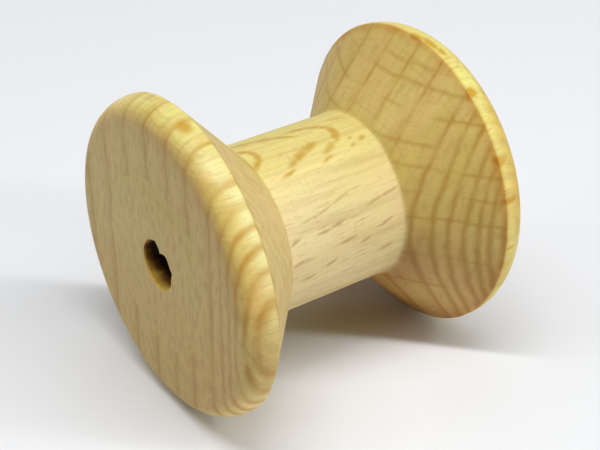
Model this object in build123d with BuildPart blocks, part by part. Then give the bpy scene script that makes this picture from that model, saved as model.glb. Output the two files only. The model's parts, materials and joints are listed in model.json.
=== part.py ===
from build123d import *
import os

# Wooden thread spool, turned in one piece from a beech billet whose grain runs along the axis.
# Millimetres. +X runs along the spool's axis and +Z is up. The spool lies on its two rims,
# and the origin is on the ground under its middle.

# Driving dimensions
length = 40.5  # over the flat end faces
flange_diameter = 40.0  # over the rims
barrel_diameter = 21.5  # where the thread is wound
barrel_length = 16.5  # the straight part, from cone to cone
bore_diameter = 6.0  # right through, for a spool pin

# Rim of each flange, from the flat end face inwards
rim_round_depth = 3.4  # how far along the axis the rounding reaches
rim_round_drop = 2.6  # how far below the rim the flat face ends
rim_land = 0.3  # straight stretch between the rounding and the rim's inner edge

# Small edges, as the cutter and the sanding leave them
inner_edge_radius = 0.15  # where the land meets the cone
root_radius = 0.6  # where the cone meets the barrel
bore_mouth_radius = 0.3  # where the bore meets each end face

# Places along the axis and distances from it, worked out from the sizes above
end_x = length / 2
round_start_x = end_x - rim_round_depth
cone_top_x = round_start_x - rim_land
cone_foot_x = barrel_length / 2
rim_radius = flange_diameter / 2
face_radius = rim_radius - rim_round_drop
barrel_radius = barrel_diameter / 2

# The section stands upright through the axis: its x is the place along the axis,
# and its y is the distance out from it. The bore is drilled from the +X end face.
axis_origin = (0, 0, rim_radius)
spool_axis = Axis(axis_origin, (1, 0, 0))
section_plane = Plane(origin=axis_origin, x_dir=(1, 0, 0), z_dir=(0, -1, 0))
end_face_plane = Plane(origin=(end_x, 0, rim_radius), x_dir=(0, 1, 0), z_dir=(1, 0, 0))

with BuildPart() as spool:
    with BuildSketch(section_plane) as section:
        # End face, rounded rim, land, cone and half of the barrel, then the other end as its mirror image
        with BuildLine():
            Polyline((0, 0), (end_x, 0), (end_x, face_radius))
            EllipticalCenterArc(
                (round_start_x, face_radius), rim_round_depth, rim_round_drop, start_angle=0, arc_size=90
            )
            Polyline(
                (round_start_x, rim_radius),
                (cone_top_x, rim_radius),
                (cone_foot_x, barrel_radius),
                (0, barrel_radius),
            )
            mirror(about=Plane.YZ)
        make_face()

        # The corners in rows by distance from the axis: the roots are the first row outside it.
        # In the rim's row the inner two are where the lands end.
        corner_rows = section.vertices().group_by(Axis.Y)
        inner_rim_corners = corner_rows[-1].sort_by(Axis.X)[1:3]
        fillet(inner_rim_corners, radius=inner_edge_radius)
        root_corners = section.vertices().group_by(Axis.Y)[1]
        fillet(root_corners, radius=root_radius)
    revolve(axis=spool_axis)

    # The bore goes right through, and its mouth in each end face is eased
    with Locations(end_face_plane):
        Hole(radius=bore_diameter / 2)
    end_faces = spool.faces().filter_by(Axis.X)
    bore_mouths = end_faces.edges().group_by(SortBy.RADIUS)[0]
    fillet(bore_mouths, radius=bore_mouth_radius)

spool.part.label = "spool"

os.makedirs("parts", exist_ok=True)
export_step(spool.part, "parts/spool.step")

print("spool volume", round(spool.part.volume), "mm3, size", spool.part.bounding_box().size)
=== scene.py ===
import json
from math import atan2, ceil, cos, hypot, pi, radians, sin, tan, tau

import bmesh
import bpy
from mathutils import Matrix, Vector, noise


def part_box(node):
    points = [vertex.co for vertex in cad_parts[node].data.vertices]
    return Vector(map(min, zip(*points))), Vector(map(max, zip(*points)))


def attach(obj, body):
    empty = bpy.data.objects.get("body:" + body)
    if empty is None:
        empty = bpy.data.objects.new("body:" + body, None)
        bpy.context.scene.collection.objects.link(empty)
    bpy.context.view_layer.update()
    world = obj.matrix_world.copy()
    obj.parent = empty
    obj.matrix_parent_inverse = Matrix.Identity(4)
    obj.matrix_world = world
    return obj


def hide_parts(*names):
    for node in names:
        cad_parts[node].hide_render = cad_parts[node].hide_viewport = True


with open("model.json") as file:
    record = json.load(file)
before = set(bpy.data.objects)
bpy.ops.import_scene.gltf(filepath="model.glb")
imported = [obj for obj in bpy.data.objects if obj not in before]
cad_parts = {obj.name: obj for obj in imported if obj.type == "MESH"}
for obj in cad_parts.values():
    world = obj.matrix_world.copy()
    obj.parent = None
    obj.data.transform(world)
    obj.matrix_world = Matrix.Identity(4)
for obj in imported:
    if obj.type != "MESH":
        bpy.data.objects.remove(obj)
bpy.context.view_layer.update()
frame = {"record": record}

mm = 0.001
spoolLow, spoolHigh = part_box("spool")
rimRadius = (spoolHigh.z - spoolLow.z) / 2
halfLength = (spoolHigh.x - spoolLow.x) / 2
axisPoint = Vector((0, 0, spoolLow.z + rimRadius))  # the spool's middle, on its axis
spindleBore = next(m for m in frame["record"]["mounts"] if m["name"] == "spindle_bore")
boreRadius = spindleBore["dims"]["r_mm"] * mm
print("frame loaded, spool", round(2 * halfLength / mm, 2), "mm long")


# The turned wood

turnedShape = {
    "barrelRadius": 10.75 * mm,
    "barrelHalf": 8.25 * mm,  # from the middle to the foot of the cone
    "rimRoundDepth": 3.4 * mm,
    "rimRoundDrop": 2.6 * mm,
    "rimLand": 0.3 * mm,
    "rootRadius": 0.6 * mm,
    "innerEdgeRadius": 0.15 * mm,
    "mouthRadius": 0.3 * mm,
    "mouthZone": 2.0 * mm,  # stretch of the bore that is meshed finely at each end
    "drilledDepth": 0.2 * mm,  # how far from the bore's wall the drilled material reaches
    "around": 256,
    "roundSteps": 14,
    "rootSteps": 5,
    "edgeSteps": 3,
    "mouthSteps": 5,
    "row": 0.45 * mm,
    "mouthRow": 0.18 * mm,
    "boreRow": 2.5 * mm,
}

roundStart = halfLength - turnedShape["rimRoundDepth"]
coneTop = roundStart - turnedShape["rimLand"]
coneFoot = turnedShape["barrelHalf"]
barrelRadius = turnedShape["barrelRadius"]
faceRadius = rimRadius - turnedShape["rimRoundDrop"]
coneTurn = atan2(rimRadius - barrelRadius, coneTop - coneFoot)  # how steeply the cone leaves the barrel
nearby = 0.01 * mm  # slack for picking out corners
touching = 0.001 * mm
wallSlack = 0.05 * mm


def distanceFromAxis(place):
    return hypot(place.y, place.z - axisPoint.z)


def angleRound(place):
    # 0 at the top, growing towards the front
    return atan2(-place.y, place.z - axisPoint.z)


def latheOutline(bm, shape):
    # half of the section as a wire, from the barrel's middle over the rim to the bore's middle
    def corner(x, radius):
        return bm.verts.new((x, 0, axisPoint.z + radius))

    outer = [corner(0, barrelRadius), corner(coneFoot, barrelRadius), corner(coneTop, rimRadius)]
    outer.append(corner(roundStart, rimRadius))
    for a, b in zip(outer, outer[1:]):
        bm.edges.new((a, b))

    # the rounding is the last corner swept a quarter turn and stretched along the axis
    roundCentre = Vector((roundStart, 0, axisPoint.z + faceRadius))
    swept = bmesh.ops.spin(bm, geom=[outer[-1]], cent=roundCentre, axis=(0, 1, 0), angle=pi / 2,
                           steps=shape["roundSteps"])
    rounding = [v for v in bm.verts if v.co.x > roundStart + nearby]
    stretch = shape["rimRoundDepth"] / shape["rimRoundDrop"]
    bmesh.ops.scale(bm, vec=(stretch, 1, 1), space=Matrix.Translation(-roundCentre), verts=rounding)

    faceEdge = next(g for g in swept["geom_last"] if isinstance(g, bmesh.types.BMVert))
    fineTo = halfLength - shape["mouthZone"]
    inner = [faceEdge, corner(halfLength, boreRadius), corner(fineTo, boreRadius), corner(0, boreRadius)]
    for a, b in zip(inner, inner[1:]):
        bm.edges.new((a, b))


def easeRing(bm, x, radius, eased, turn, segments):
    # rounds one turned corner to a radius
    ring = [e for e in bm.edges if all(
        abs(v.co.x - x) < nearby and abs(distanceFromAxis(v.co) - radius) < nearby for v in e.verts)]
    bmesh.ops.bevel(bm, geom=ring, offset=eased * tan(turn / 2), offset_type="OFFSET", affect="EDGES",
                    segments=segments, profile=0.5, material=-1)


def addRows(bm, longest, inStretch):
    # cuts the lengthwise edges of a stretch into rows
    byCuts = {}
    for edge in bm.edges:
        a, b = (v.co for v in edge.verts)
        farther = abs(distanceFromAxis(a) - distanceFromAxis(b))
        alongRing = abs(a.x - b.x) < touching and farther < touching
        if alongRing or not inStretch((a + b) / 2):
            continue
        cuts = ceil(edge.calc_length() / longest - 0.01) - 1
        if cuts > 0:
            byCuts.setdefault(cuts, []).append(edge)
    for cuts, edges in byCuts.items():
        bmesh.ops.subdivide_edges(bm, edges=edges, cuts=cuts)


def inBore(place):
    return distanceFromAxis(place) < boreRadius + wallSlack


def inMouth(place):
    return inBore(place) and abs(place.x) > halfLength - turnedShape["mouthZone"]


def turnSpool(shape):
    bm = bmesh.new()
    latheOutline(bm, shape)
    bmesh.ops.spin(bm, geom=bm.verts[:] + bm.edges[:], cent=axisPoint, axis=(1, 0, 0), angle=tau,
                   steps=shape["around"], use_merge=True, use_duplicate=False)
    easeRing(bm, coneFoot, barrelRadius, shape["rootRadius"], coneTurn, shape["rootSteps"])
    easeRing(bm, coneTop, rimRadius, shape["innerEdgeRadius"], coneTurn, shape["edgeSteps"])
    easeRing(bm, halfLength, boreRadius, shape["mouthRadius"], pi / 2, shape["mouthSteps"])
    addRows(bm, shape["mouthRow"], inMouth)
    addRows(bm, shape["boreRow"], lambda place: inBore(place) and not inMouth(place))
    addRows(bm, shape["row"], lambda place: not inBore(place))
    bmesh.ops.mirror(bm, geom=bm.verts[:] + bm.edges[:] + bm.faces[:], axis="X", merge_dist=touching)
    bmesh.ops.remove_doubles(bm, verts=bm.verts, dist=touching)
    bmesh.ops.recalc_face_normals(bm, faces=bm.faces)
    return bm


woodWear = {
    "sanding": 0.003 * mm,
    "rippleDepth": 0.02 * mm,  # slow waves that the gouge leaves
    "rippleLength": 2.2 * mm,
    "rippleSeed": 0.37,
    "dentDepth": 0.14 * mm,  # knocks along the rims' inner edges
    "dentReach": 0.7 * mm,
    "dentsAround": 7,
    "dentFrom": 0.12,  # noise level where a knock begins
    "dentSeeds": (4.1, 11.3),  # for the near and the far end
    "burrHeight": 1.0 * mm,  # splinter that the drill left at the near mouth
    "burrAngle": radians(20),
    "burrHalfAngle": radians(27),
    "burrSharpness": 1.3,
    "burrReach": 0.9 * mm,  # along the bore, and out over the end face
    "chipDepth": 0.16 * mm,  # small tear-outs round both mouths
    "chipReach": 0.8 * mm,
    "chipsAround": 3.1,
    "chipFrom": -0.15,
    "chipSeeds": (8.9, 2.7),
}


def smoothFall(value, reach):
    # 1 at nothing, 0 from reach on
    t = max(0.0, 1 - abs(value) / reach)
    return t * t * (3 - 2 * t)


def noiseRound(x, angle, around, seeds):
    # noise along a ring, with a seed for each end of the spool
    return noise.noise(Vector((around * cos(angle), around * sin(angle), seeds[x > 0])))


def rippleAt(x, radius):
    wave = noise.noise(Vector((x, radius, woodWear["rippleSeed"])) / woodWear["rippleLength"])
    return woodWear["sanding"] + woodWear["rippleDepth"] * (0.5 + 0.5 * wave)


def dentAt(x, radius, angle):
    fromEdge = hypot(abs(x) - coneTop, radius - rimRadius)
    if fromEdge > woodWear["dentReach"]:
        return 0.0
    knock = noiseRound(x, angle, woodWear["dentsAround"], woodWear["dentSeeds"]) - woodWear["dentFrom"]
    return woodWear["dentDepth"] * max(0.0, knock) * smoothFall(fromEdge, woodWear["dentReach"])


def burrAt(x, radius, angle):
    # inward move of the near mouth's edge, as one short splinter
    fromMouth = radius - boreRadius - turnedShape["mouthRadius"]
    if x > 0 or fromMouth > woodWear["burrReach"]:
        return 0.0
    around = (angle - woodWear["burrAngle"]) / woodWear["burrHalfAngle"]
    if abs(around) >= 1:
        return 0.0
    peak = (1 - abs(around)) ** woodWear["burrSharpness"]
    inside = smoothFall(halfLength + x, woodWear["burrReach"])
    outside = smoothFall(max(0.0, fromMouth), woodWear["burrReach"])
    return woodWear["burrHeight"] * peak * inside * outside


def chipAt(x, radius, angle):
    # the mouths' edges broken back a little where fibres tore out
    fromMouth = hypot(halfLength - abs(x), radius - boreRadius)
    if fromMouth > woodWear["chipReach"]:
        return 0.0
    tear = noiseRound(x, angle, woodWear["chipsAround"], woodWear["chipSeeds"]) - woodWear["chipFrom"]
    return woodWear["chipDepth"] * max(0.0, tear) * smoothFall(fromMouth, woodWear["chipReach"])


def wearSpool(bm):
    bm.normal_update()
    moves = []
    for vert in bm.verts:
        x, radius, angle = vert.co.x, distanceFromAxis(vert.co), angleRound(vert.co)
        outward = Vector((0, vert.co.y, vert.co.z - axisPoint.z)).normalized()
        if inBore(vert.co):
            move = outward * chipAt(x, radius, angle)
        else:
            depth = rippleAt(x, radius) + dentAt(x, radius, angle) + chipAt(x, radius, angle)
            move = -vert.normal * depth
        moves.append(move - outward * burrAt(x, radius, angle))
    for vert, move in zip(bm.verts, moves):
        vert.co += move


def spoolPiece():
    bm = turnSpool(turnedShape)
    for face in bm.faces:
        face.smooth = True
        drilled = distanceFromAxis(face.calc_center_median()) < boreRadius + turnedShape["drilledDepth"]
        face.material_index = 1 if drilled else 0
    wearSpool(bm)
    mesh = bpy.data.meshes.new("turnedSpool")
    bm.to_mesh(mesh)
    bm.free()
    piece = bpy.data.objects.new("turnedSpool", mesh)
    bpy.context.scene.collection.objects.link(piece)
    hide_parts("spool")
    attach(piece, "root")
    print("spool turned,", len(mesh.polygons), "faces")
    return piece


# Node helpers

def addNode(tree, kind, feeds=None, **settings):
    made = tree.nodes.new(kind)
    for name, value in settings.items():
        setattr(made, name, value)
    for name, value in (feeds or {}).items():
        socket = made.inputs[name]
        if isinstance(value, bpy.types.NodeSocket):
            tree.links.new(value, socket)
        else:
            socket.default_value = value
    return made


def calc(tree, operation, a, b=0.0):
    return addNode(tree, "ShaderNodeMath", {0: a, 1: b}, operation=operation).outputs[0]


def total(tree, first, *others):
    for other in others:
        first = calc(tree, "ADD", first, other)
    return first


def product(tree, first, *others):
    for other in others:
        first = calc(tree, "MULTIPLY", first, other)
    return first


def vectorCalc(tree, operation, a, b=(0, 0, 0)):
    made = addNode(tree, "ShaderNodeVectorMath", {0: a, 1: b}, operation=operation)
    return made.outputs["Value" if operation == "LENGTH" else "Vector"]


def partsOf(tree, place):
    # its X, Y and Z
    return addNode(tree, "ShaderNodeSeparateXYZ", {0: place}).outputs


def fromParts(tree, **parts):
    return addNode(tree, "ShaderNodeCombineXYZ", parts).outputs[0]


def ranged(tree, value, low, high, toLow=0.0, toHigh=1.0, kind="SMOOTHSTEP"):
    feeds = {"Value": value, "From Min": low, "From Max": high, "To Min": toLow, "To Max": toHigh}
    return addNode(tree, "ShaderNodeMapRange", feeds, interpolation_type=kind).outputs["Result"]


def mixed(tree, factor, a, b, blend="MIX"):
    # a colour mix takes its factor and colours at sockets 0, 6 and 7
    made = addNode(tree, "ShaderNodeMix", {0: factor, 6: a, 7: b}, data_type="RGBA", blend_type=blend)
    return made.outputs[2]


def tinted(tree, color, factor, tone):
    # the colour multiplied by a tone, where the factor is 1
    if isinstance(tone, tuple):
        tone = tone + (1,)
    return mixed(tree, factor, color, tone, "MULTIPLY")


def ramp(tree, value, stops, kind="LINEAR"):
    # a stop is a position and a grey or a colour
    made = addNode(tree, "ShaderNodeValToRGB", {"Fac": value})
    made.color_ramp.interpolation = kind
    elements = made.color_ramp.elements
    elements.remove(elements[1])
    elements[0].position = stops[0][0]
    for position, _ in stops[1:]:
        elements.new(position)
    for element, (_, tone) in zip(elements, stops):
        red, green, blue = tone if isinstance(tone, tuple) else (tone,) * 3
        element.color = (red, green, blue, 1)
    return made.outputs["Color"]


def newGroup(name, takes, gives):
    tree = bpy.data.node_groups.new(name, "ShaderNodeTree")
    for socketName, kind, value in takes:
        socket = tree.interface.new_socket(socketName, in_out="INPUT", socket_type="NodeSocket" + kind)
        if value is not None:
            socket.default_value = value
    for socketName, kind in gives:
        tree.interface.new_socket(socketName, in_out="OUTPUT", socket_type="NodeSocket" + kind)
    return tree, tree.nodes.new("NodeGroupInput").outputs, tree.nodes.new("NodeGroupOutput").inputs


def useGroup(tree, group, feeds):
    return addNode(tree, "ShaderNodeGroup", feeds, node_tree=group).outputs


# Beech figure. Places are millimetres from the spool's middle: the fibres run along X,
# growth rings are nearly flat sheets across Y, and rays are thin sheets across Z.

# What varies by noise: how often per millimetre along X, Y and Z, its detail and its amount
beechNoise = {
    "ringSwing": ((0.012, 0.03, 0.045), 1.0, 1.2),
    "ringShiver": ((0.05, 0.5, 0.25), 2.0, 0.6),
    "ringEdge": ((0.6, 1.5, 1.2), 2.0, 0.35),
    "ringPatches": ((0.15, 0.45, 0.25), 2.0, 1.0),
    "raySway": ((0.03, 0.13, 0.03), 1.0, 1.8),
    "rayFlutter": ((0.35, 0.5, 0.2), 1.0, 0.45),
    "longRaySway": ((0.03, 0.11, 0.04), 1.0, 1.6),
    "longRayFlutter": ((0.3, 0.5, 0.2), 1.0, 0.4),
    "longRayPatches": ((0.06, 0.13, 0.35), 1.0, 1.0),
    "warmth": ((0.04, 0.16, 0.12), 2.0, 1.0),
    "hue": ((0.12, 0.4, 0.09), 2.0, 1.0),
    "streaks": ((0.05, 1.3, 0.5), 3.0, 1.0, 0.6),  # and rougher than the rest
    "vessels": ((0.35, 5.0, 5.0), 2.0, 1.0),
    "fleckEdge": ((1.2, 2.2, 2.2), 2.0, 1.0),
    "rubbedPatches": ((0.2, 0.25, 0.25), 2.0, 1.0),
    "markPatches": ((0.3, 0.3, 0.3), 2.0, 1.0),
    # ragged edge of the painted shade in the bore
    "boreShadeNoise": ((0.3, 0.9, 0.9), 2.0, 1.6),
}
patchEdge = 0.15  # a patch grows from its least to whole while the noise goes from minus this to this


def noiseAt(tree, place, name):
    # centred on 0
    perMm, detail, amount, rough = (*beechNoise[name], 0.5)[:4]
    stretched = vectorCalc(tree, "MULTIPLY", place, perMm)
    feeds = {"Vector": stretched, "Scale": 1.0, "Detail": detail, "Roughness": rough}
    centred = calc(tree, "SUBTRACT", addNode(tree, "ShaderNodeTexNoise", feeds).outputs["Fac"], 0.5)
    return calc(tree, "MULTIPLY", centred, amount)


def patchy(tree, place, name, least):
    return ranged(tree, noiseAt(tree, place, name), -patchEdge, patchEdge, least, 1.0)


ringPlan = {
    # where each ring's dark line lies towards the front, level with the axis
    "lines": [-22.0, -17.0, -11.8, -6.5, -1.6, 2.9, 6.9, 11.35, 13.4, 14.9, 16.4, 17.6, 18.7, 20.0,
              21.4, 23.0],
    "bend": 0.0012,  # how far the sheets curve, per square millimetre
    "lean": 0.027,  # how far they lean to the back, per millimetre along the axis
    "leanFrom": 13.0,
    "lineHalf": (6.0, -6.0, 0.46, 0.62),  # the dark line's half width grows between two heights
    "widest": 10.0,  # no ring is wider
    # how dark the wood is from one line to the next
    "band": [(0.0, 0.85), (0.1, 0.3), (0.3, 0.05), (0.55, 0.1), (0.8, 0.45), (0.95, 0.9), (1.0, 1.0)],
}


def growthRingGroup():
    tree, takes, gives = newGroup("growthRings", [("Place", "Vector", None)],
                                  [("Band", "Float"), ("Line", "Float")])
    place, plan = takes["Place"], ringPlan
    parts = partsOf(tree, place)
    swing, shiver = noiseAt(tree, place, "ringSwing"), noiseAt(tree, place, "ringShiver")
    curve = product(tree, parts["Z"], parts["Z"], plan["bend"])
    lean = product(tree, calc(tree, "SUBTRACT", parts["X"], plan["leanFrom"]), plan["lean"])
    across = calc(tree, "SUBTRACT", total(tree, swing, shiver, curve, lean), parts["Y"])

    # a ladder counts the rings passed, so its fraction is the place within one ring
    lines, widest = plan["lines"], plan["widest"]
    low, high, count = lines[0], lines[-1], len(lines) - 1
    level = ranged(tree, across, low, high, kind="LINEAR")
    steps = [(line - low) / (high - low) for line in lines]
    ladder = ramp(tree, level, [(step, index / count) for index, step in enumerate(steps)])
    phase = calc(tree, "FRACT", product(tree, ladder, float(count)))
    widths = [(step, (after - before) / widest) for step, before, after in zip(steps, lines, lines[1:])]
    width = product(tree, ramp(tree, level, widths, "CONSTANT"), widest)
    toLine = product(tree, calc(tree, "MINIMUM", phase, calc(tree, "SUBTRACT", 1.0, phase)), width)
    ragged = total(tree, toLine, noiseAt(tree, place, "ringEdge"))
    half = ranged(tree, parts["Z"], *plan["lineHalf"])
    tree.links.new(ramp(tree, phase, plan["band"]), gives["Band"])
    tree.links.new(ranged(tree, ragged, half, 0.0), gives["Line"])
    return tree


rayPlan = {
    "lean": -0.10,  # they rise a tenth of a millimetre for each millimetre along the axis
    "least": 0.4,  # the smallest ray against the largest
    "longHalf": 0.75,  # half length towards the front, against its cell's
    # half sizes and softness in millimetres, and how many of the cells hold a ray
    "broad": {"Cell": (2.4, 24.0, 1.0), "Half Height": 1.15, "Half Thickness": 0.11, "Share": 0.78,
              "Soft": 0.09},
    "fine": {"Cell": (1.3, 6.0, 0.5), "Half Height": 0.65, "Half Thickness": 0.06, "Share": 0.8,
             "Soft": 0.05},
}


def rayGroup():
    # spindle-shaped rays: tall along the fibres, thin across Z and long along Y
    tree, takes, gives = newGroup(
        "woodRays",
        [("Place", "Vector", None), ("Cell", "Vector", (5.0, 22.0, 1.5)), ("Half Height", "Float", 2.4),
         ("Half Thickness", "Float", 0.12), ("Share", "Float", 0.8), ("Soft", "Float", 0.06)],
        [("Mask", "Float"), ("Chance", "Float")])
    place, cell = takes["Place"], takes["Cell"]
    lean = product(tree, partsOf(tree, place)["X"], rayPlan["lean"])
    shift = total(tree, noiseAt(tree, place, "raySway"), noiseAt(tree, place, "rayFlutter"), lean)
    shifted = vectorCalc(tree, "ADD", place, fromParts(tree, Z=shift))
    scaled = vectorCalc(tree, "DIVIDE", shifted, cell)
    cells = addNode(tree, "ShaderNodeTexVoronoi", {"Vector": scaled, "Scale": 1.0}).outputs
    offset = vectorCalc(tree, "MULTIPLY", vectorCalc(tree, "SUBTRACT", scaled, cells["Position"]), cell)
    parts = partsOf(tree, offset)
    chances = addNode(tree, "ShaderNodeSeparateColor", {0: cells["Color"]}).outputs

    tall, thick = (
        product(tree, takes[name], ranged(tree, chances[chance], 0, 1, rayPlan["least"], 1.0))
        for name, chance in (("Half Height", "Red"), ("Half Thickness", "Green")))
    longHalf = product(tree, partsOf(tree, cell)["Y"], rayPlan["longHalf"])
    alongX, alongY = (
        calc(tree, "POWER", calc(tree, "ABSOLUTE", calc(tree, "DIVIDE", parts[name], half)), 2.0)
        for name, half in (("X", tall), ("Y", longHalf)))
    swell = calc(tree, "SUBTRACT", 1.0, total(tree, alongX, alongY))
    room = calc(tree, "SUBTRACT", product(tree, swell, thick), calc(tree, "ABSOLUTE", parts["Z"]))
    inside = ranged(tree, room, product(tree, takes["Soft"], -1.0), takes["Soft"])
    chosen = calc(tree, "LESS_THAN", chances["Blue"], takes["Share"])
    tree.links.new(product(tree, inside, chosen), gives["Mask"])
    tree.links.new(chances["Red"], gives["Chance"])
    return tree


# The longest rays run right across the flanges
longRays = {
    "heights": [17.7, 16.1, 13.6, 10.6, 8.2, 5.2, 2.0, -3.5, -9.0],  # above the axis
    "half": 0.36,
    "knotHalf": 0.7,  # half height of the dark spots where they cross a ring
    "reach": 20,  # from the axis to the rims
    "patches": (-0.12, 0.10),  # noise that takes them from hidden to whole
}


def longRayGroup():
    tree, takes, gives = newGroup("longRays", [("Place", "Vector", None)],
                                  [("Mask", "Float"), ("Knot", "Float")])
    place, reach = takes["Place"], longRays["reach"]
    height = total(tree, noiseAt(tree, place, "longRaySway"), noiseAt(tree, place, "longRayFlutter"),
                   partsOf(tree, place)["Z"])
    level = ranged(tree, height, -reach, reach, kind="LINEAR")
    shown = ranged(tree, noiseAt(tree, place, "longRayPatches"), *longRays["patches"])
    for name, half in (("Mask", longRays["half"]), ("Knot", longRays["knotHalf"])):
        stops = [(0.0, 0.0)]
        for middle in sorted(longRays["heights"]):
            for step in (-1, 0, 1):
                stops.append(((middle + step * half + reach) / (2 * reach), 1.0 - abs(step)))
        tree.links.new(product(tree, ramp(tree, level, stops), shown), gives[name])
    return tree


# Flecks that stand out. On the barrel each is a run of places, along the axis and as
# degrees from the top towards the front, with its half width and how strong it shows.
barrelFlecks = [
    ([(-8.1, -5), (-7.1, -2), (-6.6, 4), (-6.9, 10), (-8.1, 15)], 0.46, 0.95),
    ([(-7.6, -17), (-4.9, -13), (-2.6, -9), (-0.7, -3)], 0.42, 0.85),
    ([(-3.9, 22), (-2.8, 19)], 0.40, 0.9),
    ([(-2.8, 19), (-0.9, 14), (0.6, 11)], 0.56, 0.95),
    ([(-5.5, 28), (-4.0, 26)], 0.28, 0.9),
    ([(1.3, 21), (3.0, 16)], 0.42, 0.8),
    ([(-0.2, -10), (1.8, -8), (3.3, -4), (4.2, 1)], 0.42, 0.85),
    ([(4.2, 1), (4.3, 7), (3.9, 12)], 0.58, 1.0),
    ([(0.3, 27), (1.6, 25)], 0.26, 0.8),
    ([(4.9, 23), (5.4, 22)], 0.22, 0.8),
    ([(5.2, 17), (5.6, 16)], 0.18, 0.7),
    ([(6.5, 20), (7.0, 19)], 0.30, 0.9),
    ([(5.0, -9), (7.6, -5)], 0.34, 0.5),
    ([(-4.2, 70), (-2.4, 69), (-0.3, 67)], 0.17, 0.85),
    ([(3.4, 63), (5.4, 61), (7.9, 59)], 0.15, 0.8),
    ([(-1.0, 81), (0.9, 80)], 0.16, 0.75),
    ([(1.6, 86), (3.1, 84)], 0.15, 0.7),
    ([(-8.2, 71), (-6.7, 68)], 0.17, 0.75),
    ([(-8.0, 85), (-6.0, 83)], 0.17, 0.75),
    ([(-3.4, 93), (-1.9, 91)], 0.16, 0.7),
    ([(-6.9, 98), (-5.1, 97)], 0.17, 0.65),
    ([(4.2, 98), (6.3, 96)], 0.17, 0.65),
    ([(4.8, 79), (6.3, 77)], 0.15, 0.7),
    ([(-4.1, 59), (-1.4, 55), (1.3, 51)], 0.13, 0.65),
]
# On the rims: place along the axis, degrees, distance from the axis, half sizes and strength
rimFlecks = [
    (-17.9, 11.5, 19.9, 0.8, 1.3, 1.0),
    (16.7, 3.5, 20.0, 0.5, 1.0, 1.3),
    (17.2, 9.5, 20.0, 0.5, 1.7, 1.4),
    (17.4, 15, 20.0, 0.4, 0.8, 1.2),
    (16.8, 34.3, 20.0, 1.0, 0.34, 1.5),
    (16.8, 60.3, 20.0, 0.95, 0.34, 1.5),
    (17.1, 74.4, 20.0, 1.1, 0.28, 1.5),
    (17.2, 92.7, 20.0, 0.8, 0.28, 0.8),
]
fleckPlan = {
    "edge": (1.5, 0.3),  # where the soft edge ends and where it begins, in half sizes
    "barrelDepth": 1.5,  # half depth on the barrel, against the half width
    "rimDepth": 1.0,
    "ragged": {"barrel": 1.3, "rim": 0.4},
    "strength": 0.88,
}


def fleckGroup():
    # one ray laid bare by the gouge: an egg shape with soft, ragged edges
    tree, takes, gives = newGroup(
        "bareFleck",
        [("Place", "Vector", None), ("Ragged", "Float", 0.0), ("Centre", "Vector", None),
         ("Turn", "Vector", None), ("Half Size", "Vector", (1, 1, 1)), ("Strength", "Float", 1.0)],
        [("Mask", "Float")])
    feeds = {"Vector": takes["Place"], "Location": takes["Centre"], "Rotation": takes["Turn"],
             "Scale": takes["Half Size"]}
    inside = addNode(tree, "ShaderNodeMapping", feeds, vector_type="TEXTURE").outputs[0]
    reach = total(tree, vectorCalc(tree, "LENGTH", inside), takes["Ragged"])
    mask = ranged(tree, reach, *fleckPlan["edge"])
    tree.links.new(product(tree, mask, takes["Strength"]), gives["Mask"])
    return tree


def roundAxis(x, angle, radius):
    return Vector((x, -radius * sin(radians(angle)), radius * cos(radians(angle))))


def bareFlecks():
    # where every egg shape lies, with what the fleck group takes for it
    for run, halfWidth, strength in barrelFlecks:
        places = [roundAxis(x, angle, barrelRadius / mm) for x, angle in run]
        for a, b in zip(places, places[1:]):
            halfSize = ((b - a).length / 2 + halfWidth, halfWidth, halfWidth * fleckPlan["barrelDepth"])
            yield "barrel", {"Centre": (a + b) / 2, "Turn": (b - a).to_track_quat("X", "Z").to_euler(),
                             "Half Size": halfSize, "Strength": strength}
    for x, angle, radius, halfLong, halfWide, strength in rimFlecks:
        halfSize = (halfLong, halfWide, fleckPlan["rimDepth"])
        yield "rim", {"Centre": roundAxis(x, angle, radius), "Turn": (-radians(angle), 0, 0),
                      "Half Size": halfSize, "Strength": strength}


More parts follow.
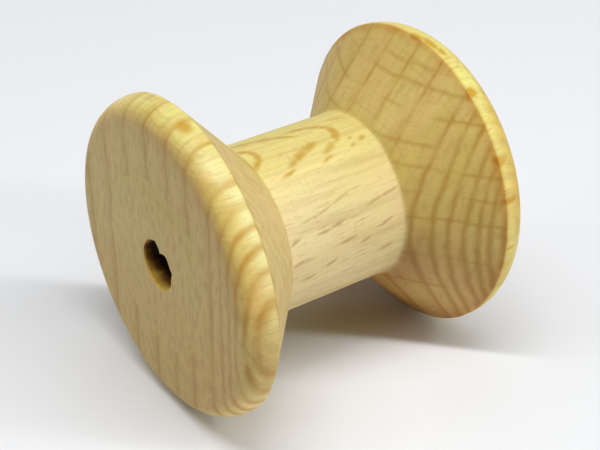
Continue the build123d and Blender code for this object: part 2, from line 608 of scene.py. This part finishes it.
beechLook = {
    "pale": (0.70, 0.585, 0.235, 1),
    "warm": (0.655, 0.50, 0.168, 1),
    "warmFrom": (0.2, 0.9),  # warmth where it leaves pale and where it is warm
    "hue": [(0.3, (1.04, 0.97, 1.0)), (0.5, (1.0, 1.0, 1.0)), (0.7, (0.98, 1.01, 0.92))],
    "streak": [(0.28, (0.80, 0.75, 0.65)), (0.5, (1.0, 1.0, 1.0)), (0.72, (1.09, 1.09, 1.08))],
    "coolFrontLight": (1.03, 1.02, 1.32),  # painted cool light, paler and bluer: the front of the barrel and the near cone
    "topGlow": (0.96, 0.98, 0.84),  # yellower on top of the barrel, round the bare flecks
    "lateWood": (0.46, 0.275, 0.035, 1),
    "rimLine": (0.50, 0.275, 0.04, 1),
    "pore": (0.45, 0.30, 0.11, 1),
    "poreFrom": (0.04, 0.28, 0.0, 0.3),  # noise where the pores begin and are whole, and their share
    "ray": (0.40, 0.25, 0.08, 1),
    "fleck": (0.46, 0.265, 0.008, 1),
    "rimFleck": (0.50, 0.26, 0.01, 1),
    "below": (0.99, 0.93, 0.88),  # painted shade: the whole spool is a little browner on its lower side
    "lowConeBounceLight": (1.09, 1.02, 1.18),  # painted light and shade: the far cone is rosier low down, where bounce light falls, and browner round its foot, where shade falls
    "coneFoot": (0.80, 0.67, 0.65),
    "underConeShade": (0.80, 0.66, 0.58),  # and darkest underneath, as painted shade
    "burnish": (0.90, 0.70, 0.42),  # rubbed brown along the far rim's inner edge
    "shoulder": (0.92, 0.80, 0.61),  # and where the rims round over from the end faces
    # painted light and shade on both rims, by height from 20 under the axis to 20 over it: paler and
    # bluer where the highlights fall
    "farRim": [(0.6, (1.06, 1.14, 0.92)), (0.95, (1.04, 1.19, 1.02))],
    "nearRim": [(0.25, (1.14, 1.17, 1.30)), (0.45, (0.82, 0.75, 0.60)), (0.6, (1.06, 1.08, 1.02)),
                (0.8, (1.13, 1.24, 1.38)), (0.91, (1.11, 1.21, 1.30)), (0.98, (1.0, 1.06, 0.88))],
    "faceFront": (0.95, 0.90, 0.84),  # the end faces grow browner towards the front
    # how the colour dims as the surface turns from the fibres' side over the cones to the ends
    "endGrain": [(0.35, (1.0, 1.0, 1.0)), (0.74, (0.86, 0.81, 0.67)), (1.0, (0.725, 0.668, 0.648))],
    # how strongly each mark shows on the fibres' side, the cones and the end faces
    "shareStops": (0.3, 0.65, 0.93, 1.0),  # the cones' share holds between the middle two
    "streakShare": (0.85, 0.7, 0.9),
    "bandShare": (0.26, 0.26, 0.36),
    "lineShare": (0.85, 0.72, 0.38),
    "rayShare": (0.7, 0.22, 0.08),
    "longRayShare": (0.0, 0.62, 0.05),
    "fineRayShare": (0.22, 0.20, 0.10),
    "frontAndFarRimRings": 0.2,  # how much of the rings is left to see under the painted cool front light and on the far rim
    "rimBands": 1.7,  # the soft bands show this much more on the near rim
    "wholeLine": (0.2, 0.85),  # least of a ring's line, and where it is nearly whole
    "raySpread": (0.25, 0.85),  # how strongly the faintest broad ray shows, and the strongest
    "topRays": 0.05,  # how much of them is left on top of the barrel
    "knot": 0.8,  # how strongly a ring shows where it crosses a long ray
    "leastBurnish": 0.4,
    "vesselHeight": -0.7,
    "rayHeight": -0.3,
}
# Zones of the surface. Each is a product of fades: what is measured, where the fade is 0 and
# where it is 1. Two more numbers are what it gives there instead. The radius is measured from
# the axis, and ends is 1 where the surface faces along the axis.
beechZones = {
    # where the painted cool light lies, on the front of the barrel and the near cone
    "coolFrontLight": [("X", -16.6, -15.6), ("X", 8.9, 7.9), ("Y", -2.0, -8.0)],
    "barrel": [("radius", 12.5, 10.8)],
    "topGlow": [("Z", 3.0, 10.0)],
    "warmth": [("X", -20, 20, 0.15, 0.75, "LINEAR")],  # warmer towards the far end
    "farRim": [("X", 16.3, 16.7), ("ends", 0.9, 0.6)],
    "nearRim": [("X", -16.3, -16.7), ("ends", 0.9, 0.6)],
    "barrelRings": [("radius", 11.3, 10.85, 1.0, 0.12)],  # the rings are faint on the barrel
    "wholeLines": [("Z", 9.0, 3.0), ("X", 0.0, 6.0)],
    "rayTone": [("ends", 0.3, 0.65)],
    "flatRays": [("Z", 5.5, 8.5)],
    "longRays": [("X", -8.5, -7.5, 0.35, 1.0)],  # fainter on the near cone
    "ochreFlecks": [("Z", 4, 9)],
    "rimFlecks": [("radius", 15, 17)],
    # painted shade on the spool's lower side
    "below": [("Z", 5, -9)],
    "farCone": [("X", 8.0, 8.8), ("X", 17.0, 16.4)],
    # painted shade round the far cone's foot, painted bounce light low on it, and painted shade under it
    "coneFoot": [("radius", 15.5, 11.2), ("Z", 3.0, -5.0)],
    "lowConeBounceLight": [("Z", 0.0, -8.0)],
    "underConeShade": [("Z", -11.0, -17.0)],
    "burnish": [("X", 15.6, 16.4), ("X", 17.0, 16.6), ("Z", -14, -4, 0.5, 1.0)],
    "shoulderStart": [("Y", -6, -15, 18.8, 17.0)],  # it reaches further over in front than on top
    "shoulder": [("pastStart", 0.0, 1.5), ("radius", 15, 19), ("Y", 8, -8, 0.5, 1.0), ("Z", -0.5, 4.0)],
    "upRim": [("Z", -20, 20, 0.0, 1.0, "LINEAR")],
    "faceFront": [("ends", 0.9, 1.0), ("Y", 12, -12)],
}


def byEndGrain(tree, ends, share):
    side, cone, face = share
    return ramp(tree, ends, list(zip(beechLook["shareStops"], (side, cone, cone, face))))


def beechFigureGroup():
    rings, rays, long, fleck = growthRingGroup(), rayGroup(), longRayGroup(), fleckGroup()
    tree, takes, gives = newGroup("beechFigure", [("Place", "Vector", None), ("End Grain", "Float", 0.0)],
                                  [("Color", "Color"), ("Rays", "Float"), ("Height", "Float")])
    place, ends, look = takes["Place"], takes["End Grain"], beechLook
    parts = partsOf(tree, place)
    measures = {name: parts[name] for name in "XYZ"}
    measures["radius"] = vectorCalc(tree, "LENGTH", fromParts(tree, Y=parts["Y"], Z=parts["Z"]))
    measures["ends"] = ends

    def zone(name):
        return product(tree, *(ranged(tree, measures[what], *fade) for what, *fade in beechZones[name]))

    def share(name):
        return byEndGrain(tree, ends, look[name])

    # pale to warm in slow drifts, with pinkish and greenish patches
    warmth = total(tree, noiseAt(tree, place, "warmth"), zone("warmth"))
    body = mixed(tree, ranged(tree, warmth, *look["warmFrom"]), look["pale"], look["warm"])
    hue = ramp(tree, total(tree, noiseAt(tree, place, "hue"), 0.5), look["hue"])
    body = tinted(tree, body, 1.0, hue)
    inCoolFrontLight, onBarrel = zone("coolFrontLight"), zone("barrel")
    # painted cool light on the front of the barrel and the near cone
    body = tinted(tree, body, inCoolFrontLight, look["coolFrontLight"])
    body = tinted(tree, body, product(tree, onBarrel, zone("topGlow")), look["topGlow"])
    streak = ramp(tree, total(tree, noiseAt(tree, place, "streaks"), 0.5), look["streak"])
    body = tinted(tree, body, share("streakShare"), streak)

    ring = useGroup(tree, rings, {"Place": place})
    onFarRim, onNearRim = zone("farRim"), zone("nearRim")
    paler = ranged(tree, calc(tree, "MAXIMUM", inCoolFrontLight, onFarRim), 0, 1, 1.0, look["frontAndFarRimRings"])
    plain = product(tree, zone("barrelRings"), paler)
    lineTone = mixed(tree, onNearRim, look["lateWood"], look["rimLine"])
    rimBands = ranged(tree, onNearRim, 0, 1, 1.0, look["rimBands"])
    bands = product(tree, ring["Band"], share("bandShare"), rimBands, plain)
    body = mixed(tree, bands, body, lineTone)
    # the lines come and go, but are nearly whole on the lower half of the far end
    whole = ranged(tree, zone("wholeLines"), 0, 1, *look["wholeLine"])
    faint = patchy(tree, place, "ringPatches", whole)
    body = mixed(tree, product(tree, ring["Line"], faint, share("lineShare"), plain), body, lineTone)

    vessels = noiseAt(tree, place, "vessels")
    body = mixed(tree, ranged(tree, vessels, *look["poreFrom"]), body, look["pore"])

    rayTone = mixed(tree, zone("rayTone"), look["ray"], look["lateWood"])
    broad, fine = (useGroup(tree, rays, {"Place": place, **rayPlan[name]}) for name in ("broad", "fine"))
    body = mixed(tree, product(tree, fine["Mask"], share("fineRayShare")), body, rayTone)
    # on top of the barrel the rays lie flat, so only the bare flecks show there
    onTop = ranged(tree, product(tree, onBarrel, zone("flatRays")), 0, 1, 1.0, look["topRays"])
    chance = product(tree, ranged(tree, broad["Chance"], 0, 1, *look["raySpread"]), onTop)
    broadShare = product(tree, broad["Mask"], chance, share("rayShare"))
    body = mixed(tree, broadShare, body, rayTone)
    longRay = useGroup(tree, long, {"Place": place})
    knot = product(tree, ring["Line"], longRay["Knot"], look["knot"])
    longShare = product(tree, calc(tree, "MAXIMUM", longRay["Mask"], knot), share("longRayShare"),
                        zone("longRays"))
    body = mixed(tree, longShare, body, look["lateWood"])

    wear = noiseAt(tree, place, "fleckEdge")
    ragged = {where: product(tree, wear, amount) for where, amount in fleckPlan["ragged"].items()}
    bare = 0.0
    for where, feeds in bareFlecks():
        spot = useGroup(tree, fleck, {"Place": place, "Ragged": ragged[where], **feeds})
        bare = calc(tree, "MAXIMUM", bare, spot["Mask"])
    # brown in front, ochre on top, orange on the rims
    fleckTone = mixed(tree, zone("ochreFlecks"), look["ray"], look["fleck"])
    fleckTone = mixed(tree, zone("rimFlecks"), fleckTone, look["rimFleck"])
    body = mixed(tree, product(tree, bare, fleckPlan["strength"]), body, fleckTone)

    # painted shade, browner on the lower side
    body = tinted(tree, body, zone("below"), look["below"])
    # painted bounce light low on the far cone, painted shade round its foot and underneath
    onFarCone = zone("farCone")
    for name in ("coneFoot", "lowConeBounceLight", "underConeShade"):
        body = tinted(tree, body, product(tree, onFarCone, zone(name)), look[name])
    rubbed = product(tree, zone("burnish"), patchy(tree, place, "rubbedPatches", look["leastBurnish"]))
    body = tinted(tree, body, rubbed, look["burnish"])
    fromMiddle = calc(tree, "ABSOLUTE", parts["X"])
    measures["pastStart"] = calc(tree, "SUBTRACT", fromMiddle, zone("shoulderStart"))
    body = tinted(tree, body, zone("shoulder"), look["shoulder"])
    # painted light and shade on the rims, by height
    upRim = zone("upRim")
    for onThisRim, tones in ((onFarRim, look["farRim"]), (onNearRim, look["nearRim"])):
        body = tinted(tree, body, onThisRim, ramp(tree, upRim, tones))
    body = tinted(tree, body, zone("faceFront"), look["faceFront"])
    body = tinted(tree, body, 1.0, ramp(tree, ends, look["endGrain"]))

    height = total(tree, product(tree, vessels, look["vesselHeight"]),
                   product(tree, broad["Mask"], look["rayHeight"]))
    tree.links.new(body, gives["Color"])
    tree.links.new(calc(tree, "MAXIMUM", broadShare, bare), gives["Rays"])
    tree.links.new(height, gives["Height"])
    return tree


markPlan = {"detail": 3.0, "least": 0.25}


def turningMarkGroup():
    # fine rings that the tool leaves, the same all the way round the axis
    tree, takes, gives = newGroup("turningMarks", [("Place", "Vector", None), ("Per Mm", "Float", 3.0)],
                                  [("Height", "Float")])
    parts = partsOf(tree, takes["Place"])
    radius = vectorCalc(tree, "LENGTH", fromParts(tree, Y=parts["Y"], Z=parts["Z"]))
    section = fromParts(tree, X=parts["X"], Y=radius)
    feeds = {"Vector": section, "Scale": takes["Per Mm"], "Detail": markPlan["detail"]}
    marks = calc(tree, "SUBTRACT", addNode(tree, "ShaderNodeTexNoise", feeds).outputs["Fac"], 0.5)
    shown = patchy(tree, takes["Place"], "markPatches", markPlan["least"])
    tree.links.new(product(tree, marks, shown), gives["Height"])
    return tree


def placeInMm(tree):
    coords = addNode(tree, "ShaderNodeTexCoord").outputs
    place = addNode(tree, "ShaderNodeMapping", {"Vector": coords["Object"], "Location": -axisPoint / mm,
                                                "Scale": (1 / mm, 1 / mm, 1 / mm)}).outputs[0]
    return place, coords["Normal"]


def newMaterial(name, look):
    material = bpy.data.materials.new(name)
    material.use_nodes = True
    shader = material.node_tree.nodes["Principled BSDF"]
    shader.inputs["Roughness"].default_value = look["roughness"]
    shader.inputs["Specular IOR Level"].default_value = look["specular"]
    return material, material.node_tree, shader


def roughen(tree, shader, height, look):
    feeds = {"Height": height, "Strength": look["bump"], "Distance": look["bumpDepth"]}
    tree.links.new(addNode(tree, "ShaderNodeBump", feeds).outputs[0], shader.inputs["Normal"])


turnedLook = {
    "roughness": 0.5,
    "gloss": (0.54, 0.40),  # roughness of the plain wood and of the rays
    "specular": 0.4,
    "marksPerMm": 2.6,
    "bump": 0.4,
    "bumpDepth": 0.07 * mm,
    # painted shade: the grooves are a little darker
    "grooveShade": [(0.35, (0.96, 0.95, 0.93)), (0.5, (1.0, 1.0, 1.0)), (0.65, (1.02, 1.02, 1.02))],
}


def turnedBeech(figureGroup, markGroup):
    look = turnedLook
    material, tree, shader = newMaterial("turnedBeech", look)
    place, normal = placeInMm(tree)
    ends = calc(tree, "ABSOLUTE", partsOf(tree, normal)["X"])
    figure = useGroup(tree, figureGroup, {"Place": place, "End Grain": ends})
    marks = useGroup(tree, markGroup, {"Place": place, "Per Mm": look["marksPerMm"]})
    # painted shade in the turning marks' grooves, a little lighter on their ridges
    grooveShade = ramp(tree, total(tree, marks["Height"], 0.5), look["grooveShade"])
    tree.links.new(tinted(tree, figure["Color"], 1.0, grooveShade), shader.inputs["Base Color"])
    tree.links.new(ranged(tree, figure["Rays"], 0, 1, *look["gloss"]), shader.inputs["Roughness"])
    roughen(tree, shader, total(tree, marks["Height"], figure["Height"]), look)
    return material


drilledLook = {
    "roughness": 0.8,
    "specular": 0.2,
    "marksPerMm": 1.4,
    "marks": 2.0,
    "bump": 0.6,
    "bumpDepth": 0.12 * mm,
    "upperBoreShade": (-2.6, 0.8, 0.0, 1.3),  # painted shade: darker along the bore's upper wall, where the light does not reach
    "boreShadeOver": 5.0,  # millimetres in from the mouth over which it darkens
    # painted shade in the bore, from the lit mouth to near black further in
    "boreShade": [(0.05, (0.95, 0.80, 0.45)), (0.19, (0.66, 0.50, 0.22)), (0.3, (0.30, 0.16, 0.05)),
                (0.45, (0.035, 0.018, 0.010))],
}


def drilledBeech(figureGroup, markGroup):
    # the bore's wall: torn by the drill, with painted shade that darkens it to near black further in
    look = drilledLook
    material, tree, shader = newMaterial("drilledBeech", look)
    place, _ = placeInMm(tree)
    figure = useGroup(tree, figureGroup, {"Place": place, "End Grain": 0.0})
    marks = useGroup(tree, markGroup, {"Place": place, "Per Mm": look["marksPerMm"]})
    parts = partsOf(tree, place)
    fromEnd = calc(tree, "SUBTRACT", halfLength / mm, calc(tree, "ABSOLUTE", parts["X"]))
    # painted shade: darker further into the bore and along its upper wall
    upperBoreShade = total(tree, ranged(tree, parts["Z"], *look["upperBoreShade"]), noiseAt(tree, place, "boreShadeNoise"))
    further = ranged(tree, total(tree, fromEnd, upperBoreShade), 0.0, look["boreShadeOver"], kind="LINEAR")
    boreShade = ramp(tree, further, look["boreShade"])
    tree.links.new(tinted(tree, figure["Color"], 1.0, boreShade), shader.inputs["Base Color"])
    height = total(tree, product(tree, marks["Height"], look["marks"]), figure["Height"])
    roughen(tree, shader, height, look)
    return material


def finishSpool(piece):
    figureGroup, markGroup = beechFigureGroup(), turningMarkGroup()
    piece.data.materials.append(turnedBeech(figureGroup, markGroup))
    piece.data.materials.append(drilledBeech(figureGroup, markGroup))
    print("beech finished,", len(figureGroup.nodes), "figure nodes")


finishSpool(spoolPiece())


# Floor, lamps and camera

floorLook = {
    "half": 3.0,
    "color": (0.78, 0.795, 0.82, 1),
    "roughness": 0.85,
    "specular": 0.1,
    "fade": (0.16, 0.45),  # how far off it begins to pale, and where it is as pale as the backdrop
}
backdrop = {
    "color": (0.95, 0.97, 1.0, 1),
    "seen": 0.85,  # how pale it looks
    "given": 0.005,  # the light it gives
}


def layFloor():
    bm = bmesh.new()
    bmesh.ops.create_grid(bm, x_segments=2, y_segments=2, size=floorLook["half"])
    mesh = bpy.data.meshes.new("floor")
    bm.to_mesh(mesh)
    bm.free()
    floor = bpy.data.objects.new("floor", mesh)
    bpy.context.scene.collection.objects.link(floor)
    material, tree, shader = newMaterial("paleSheet", floorLook)
    shader.inputs["Base Color"].default_value = floorLook["color"]
    # further off the camera sees the sheet as pale as the backdrop, so no horizon shows
    place = addNode(tree, "ShaderNodeTexCoord").outputs["Object"]
    away = ranged(tree, vectorCalc(tree, "LENGTH", place), *floorLook["fade"])
    seen = product(tree, away, addNode(tree, "ShaderNodeLightPath").outputs["Is Camera Ray"])
    feeds = {"Color": backdrop["color"], "Strength": backdrop["seen"]}
    pale = addNode(tree, "ShaderNodeEmission", feeds).outputs[0]
    sheet = addNode(tree, "ShaderNodeMixShader", {0: seen, 1: shader.outputs[0], 2: pale}).outputs[0]
    tree.links.new(sheet, tree.nodes["Material Output"].inputs["Surface"])
    mesh.materials.append(material)


# A long narrow lamp hangs over the spool and comes down in front of it, built from short
# lengths. It runs in one upright plane: each length has its angle from overhead and its
# strength, where 1 lights a white surface that faces it to white.
stripLamp = {
    "run": 46,  # azimuth it runs towards
    "lean": 14,  # degrees that it hangs off to the left of that line
    "distance": 0.85,
    "width": 0.056,
    "halfLength": 7.5,  # degrees that half a length takes up
    "lengths": {-52: 0.042, -22: 0.118, -7: 0.228, 8: 0.268, 23: 0.15, 38: 0.118, 53: 0.072,
                68: 0.12, 82: 0.08},
}
# for each soft lamp: azimuth and elevation it shines from, distance, size and strength
softLamps = {
    "left": (-110, 20, 0.85, 0.35, 0.165),
    "frontRight": (43, 43, 0.85, 0.28, 0.11),
    "back": (135, 58, 0.85, 0.5, 0.09),
    "above": (0, 88, 0.85, 0.5, 0.065),
}


def towards(azimuth, elevation):
    # unit vector to a place seen at that azimuth and elevation
    a, e = radians(azimuth), radians(elevation)
    return Vector((sin(a) * cos(e), -cos(a) * cos(e), sin(e)))


def hangLamp(name, way, side, distance, width, height, strength):
    # way points from the spool to the lamp, and side along the lamp's width
    lamp = bpy.data.lights.new(name, "AREA")
    lamp.shape = "RECTANGLE"
    lamp.size, lamp.size_y = width, height
    lamp.energy = strength * (pi * distance) ** 2
    holder = bpy.data.objects.new(name, lamp)
    holder.location = axisPoint + way * distance
    holder.rotation_euler = Matrix((side, way.cross(side), way)).transposed().to_euler()
    bpy.context.scene.collection.objects.link(holder)


def hangStrip(plan):
    run = towards(plan["run"], 0)
    overhead = towards(plan["run"] - 90, 90 - plan["lean"])
    length = 2 * plan["distance"] * tan(radians(plan["halfLength"]))
    for angle, strength in plan["lengths"].items():
        a = radians(angle)
        hangLamp("strip", overhead * cos(a) + run * sin(a), run * cos(a) - overhead * sin(a),
                 plan["distance"], length, plan["width"], strength)


def hangSoftLamps(plan):
    for name, (azimuth, elevation, distance, size, strength) in plan.items():
        way = towards(azimuth, elevation)
        side = Vector((0, 0, 1)).cross(way).normalized()
        hangLamp(name, way, side, distance, size, size, strength)


def lightWorld():
    # dim for the light it gives, and pale where the camera or a gloss sees it
    world = bpy.data.worlds.new("studio")
    world.use_nodes = True
    tree = world.node_tree
    rays = addNode(tree, "ShaderNodeLightPath").outputs
    seen = calc(tree, "MAXIMUM", rays["Is Camera Ray"], rays["Is Glossy Ray"])
    background = tree.nodes["Background"].inputs
    background["Color"].default_value = backdrop["color"]
    tree.links.new(ranged(tree, seen, 0, 1, backdrop["given"], backdrop["seen"]), background["Strength"])
    bpy.context.scene.world = world


viewPlan = {
    "azimuth": -35.02,
    "elevation": 32.63,
    "distance": 169.5 * mm,
    "right": 0.17 * mm,
    "up": -1.54 * mm,
    "lens": 81.78,
    "sensor": 36.0,
}


def placeCamera(plan):
    camera = bpy.data.cameras.new("photoView")
    camera.lens = plan["lens"]
    camera.sensor_width = plan["sensor"]
    camera.clip_start = 1 * mm
    holder = bpy.data.objects.new("photoView", camera)
    back = towards(plan["azimuth"], plan["elevation"])
    right = Vector((0, 0, 1)).cross(back).normalized()
    up = back.cross(right)
    holder.location = axisPoint + back * plan["distance"] + right * plan["right"] + up * plan["up"]
    holder.rotation_euler = (radians(90 - plan["elevation"]), 0, radians(plan["azimuth"]))
    bpy.context.scene.collection.objects.link(holder)
    bpy.context.scene.camera = holder


layFloor()
hangStrip(stripLamp)
hangSoftLamps(softLamps)
lightWorld()
placeCamera(viewPlan)
bpy.context.scene.view_settings.view_transform = "Standard"
print("studio set")
